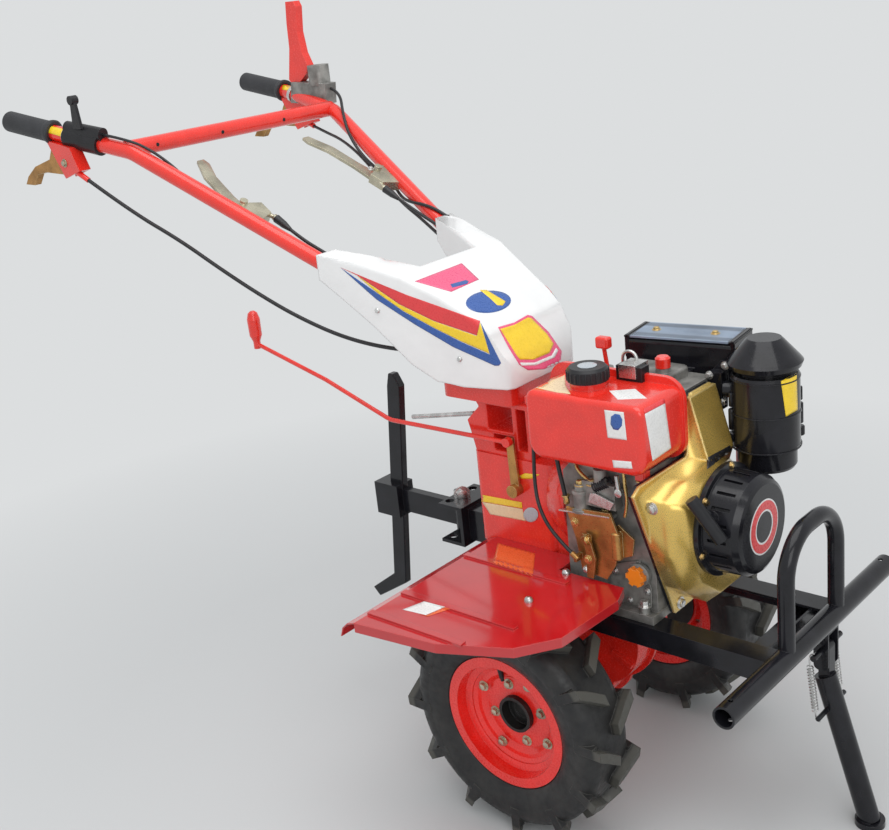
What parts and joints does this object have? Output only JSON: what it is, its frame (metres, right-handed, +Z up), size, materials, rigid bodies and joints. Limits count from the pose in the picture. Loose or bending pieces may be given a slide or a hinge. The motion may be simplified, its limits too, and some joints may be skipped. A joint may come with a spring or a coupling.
{
  "type": "walking garden cultivator",
  "caption": "Walking cultivator: diesel engine ahead of a gear case on two lugged wheels, wide fenders, long tilting handlebar, front bumper with prop stand and rear depth bar.",
  "frame": {"origin": "middle of the overall box on the floor", "axes": "+X to the front of the machine, +Y to its left, +Z up"},
  "size_m": [1.5432, 0.824, 1.305],
  "materials": {
    "bare_steel": "satin",
    "black_paint": "gloss",
    "black_plastic": "satin",
    "cable_black": "satin",
    "cast_aluminium": "cast",
    "gold_paint": "metallic gloss",
    "grip_rubber": "matte",
    "orange_plastic": "satin",
    "red_paint": "gloss",
    "tyre_rubber": "matte",
    "wheel_red": "gloss",
    "white_plastic": "gloss",
    "yellow_zinc": "yellow zinc plated",
    "zinc": "zinc plated"
  },
  "bodies": {
    "frame": {"gear_case": "red_paint", "handle_post": "red_paint", "handle_seat": "red_paint", "frame_rails": "black_paint", "bumper": "black_paint", "stand_bracket": "black_paint", "fender_left": "red_paint", "fender_right": "red_paint", "crankcase": "cast_aluminium", "cylinder": "cast_aluminium", "rocker_cover": "cast_aluminium", "oil_cap": "red_paint", "valve_lever": "red_paint", "lifting_eye": "zinc", "blower_plate": "black_paint", "blower_housing": "gold_paint", "recoil_starter": "black_paint", "recoil_handle": "black_plastic", "fuel_tank": "red_paint", "tank_cap": "black_plastic", "tank_pad": "black_plastic", "tank_clamp": "zinc", "muffler": "black_paint", "muffler_guard": "black_paint", "air_cleaner": "black_paint", "intake_arm": "black_paint", "governor_plate": "yellow_zinc", "injection_pump": "cast_aluminium", "oil_filler": "orange_plastic", "hitch_clevis": "black_paint", "drawbar": "black_paint", "depth_bar": "black_paint", "gear_lever": "red_paint", "shift_arm": "yellow_zinc", "shift_rod": "zinc", "cable_governor": "cable_black"},
    "wheel_left": {"tyre_left": "tyre_rubber", "rim_left": "wheel_red", "hub_left": "bare_steel"},
    "wheel_right": {"tyre_right": "tyre_rubber", "rim_right": "wheel_red", "hub_right": "bare_steel"},
    "stand": {"stand_leg": "black_paint", "stand_springs": "zinc"},
    "handlebar": {"handlebar": "red_paint", "hand_levers": "yellow_zinc", "steer_levers": "yellow_zinc", "lock_clamp": "cast_aluminium", "lock_lever": "red_paint", "throttle": "black_plastic", "cable_drive": "cable_black", "cable_throttle": "cable_black", "cable_steer_right": "cable_black", "cable_steer_left": "cable_black", "cable_reverse": "cable_black", "cable_lock": "cable_black", "cable_boots": "cable_black", "grips": "grip_rubber", "hood": "white_plastic"}
  },
  "joints": [
    {"name": "wheel_left_spin", "type": "hinge", "parent": "frame", "child": "wheel_left", "pos_m": [0.28465, 0.222, 0.197], "axis": [0, 1, 0], "continuous": true},
    {"name": "wheel_right_spin", "type": "hinge", "parent": "frame", "child": "wheel_right", "pos_m": [0.28465, -0.222, 0.197], "axis": [0, 1, 0], "continuous": true},
    {"name": "stand_fold", "type": "hinge", "parent": "frame", "child": "stand", "pos_m": [0.67765, 0.056, 0.296], "axis": [0, 1, 0], "range_deg": [0, 78]},
    {"name": "handlebar_tilt", "type": "hinge", "parent": "frame", "child": "handlebar", "pos_m": [0.16665, 0, 0.716], "axis": [0, 1, 0], "range_deg": [-8, 10]}
  ]
}
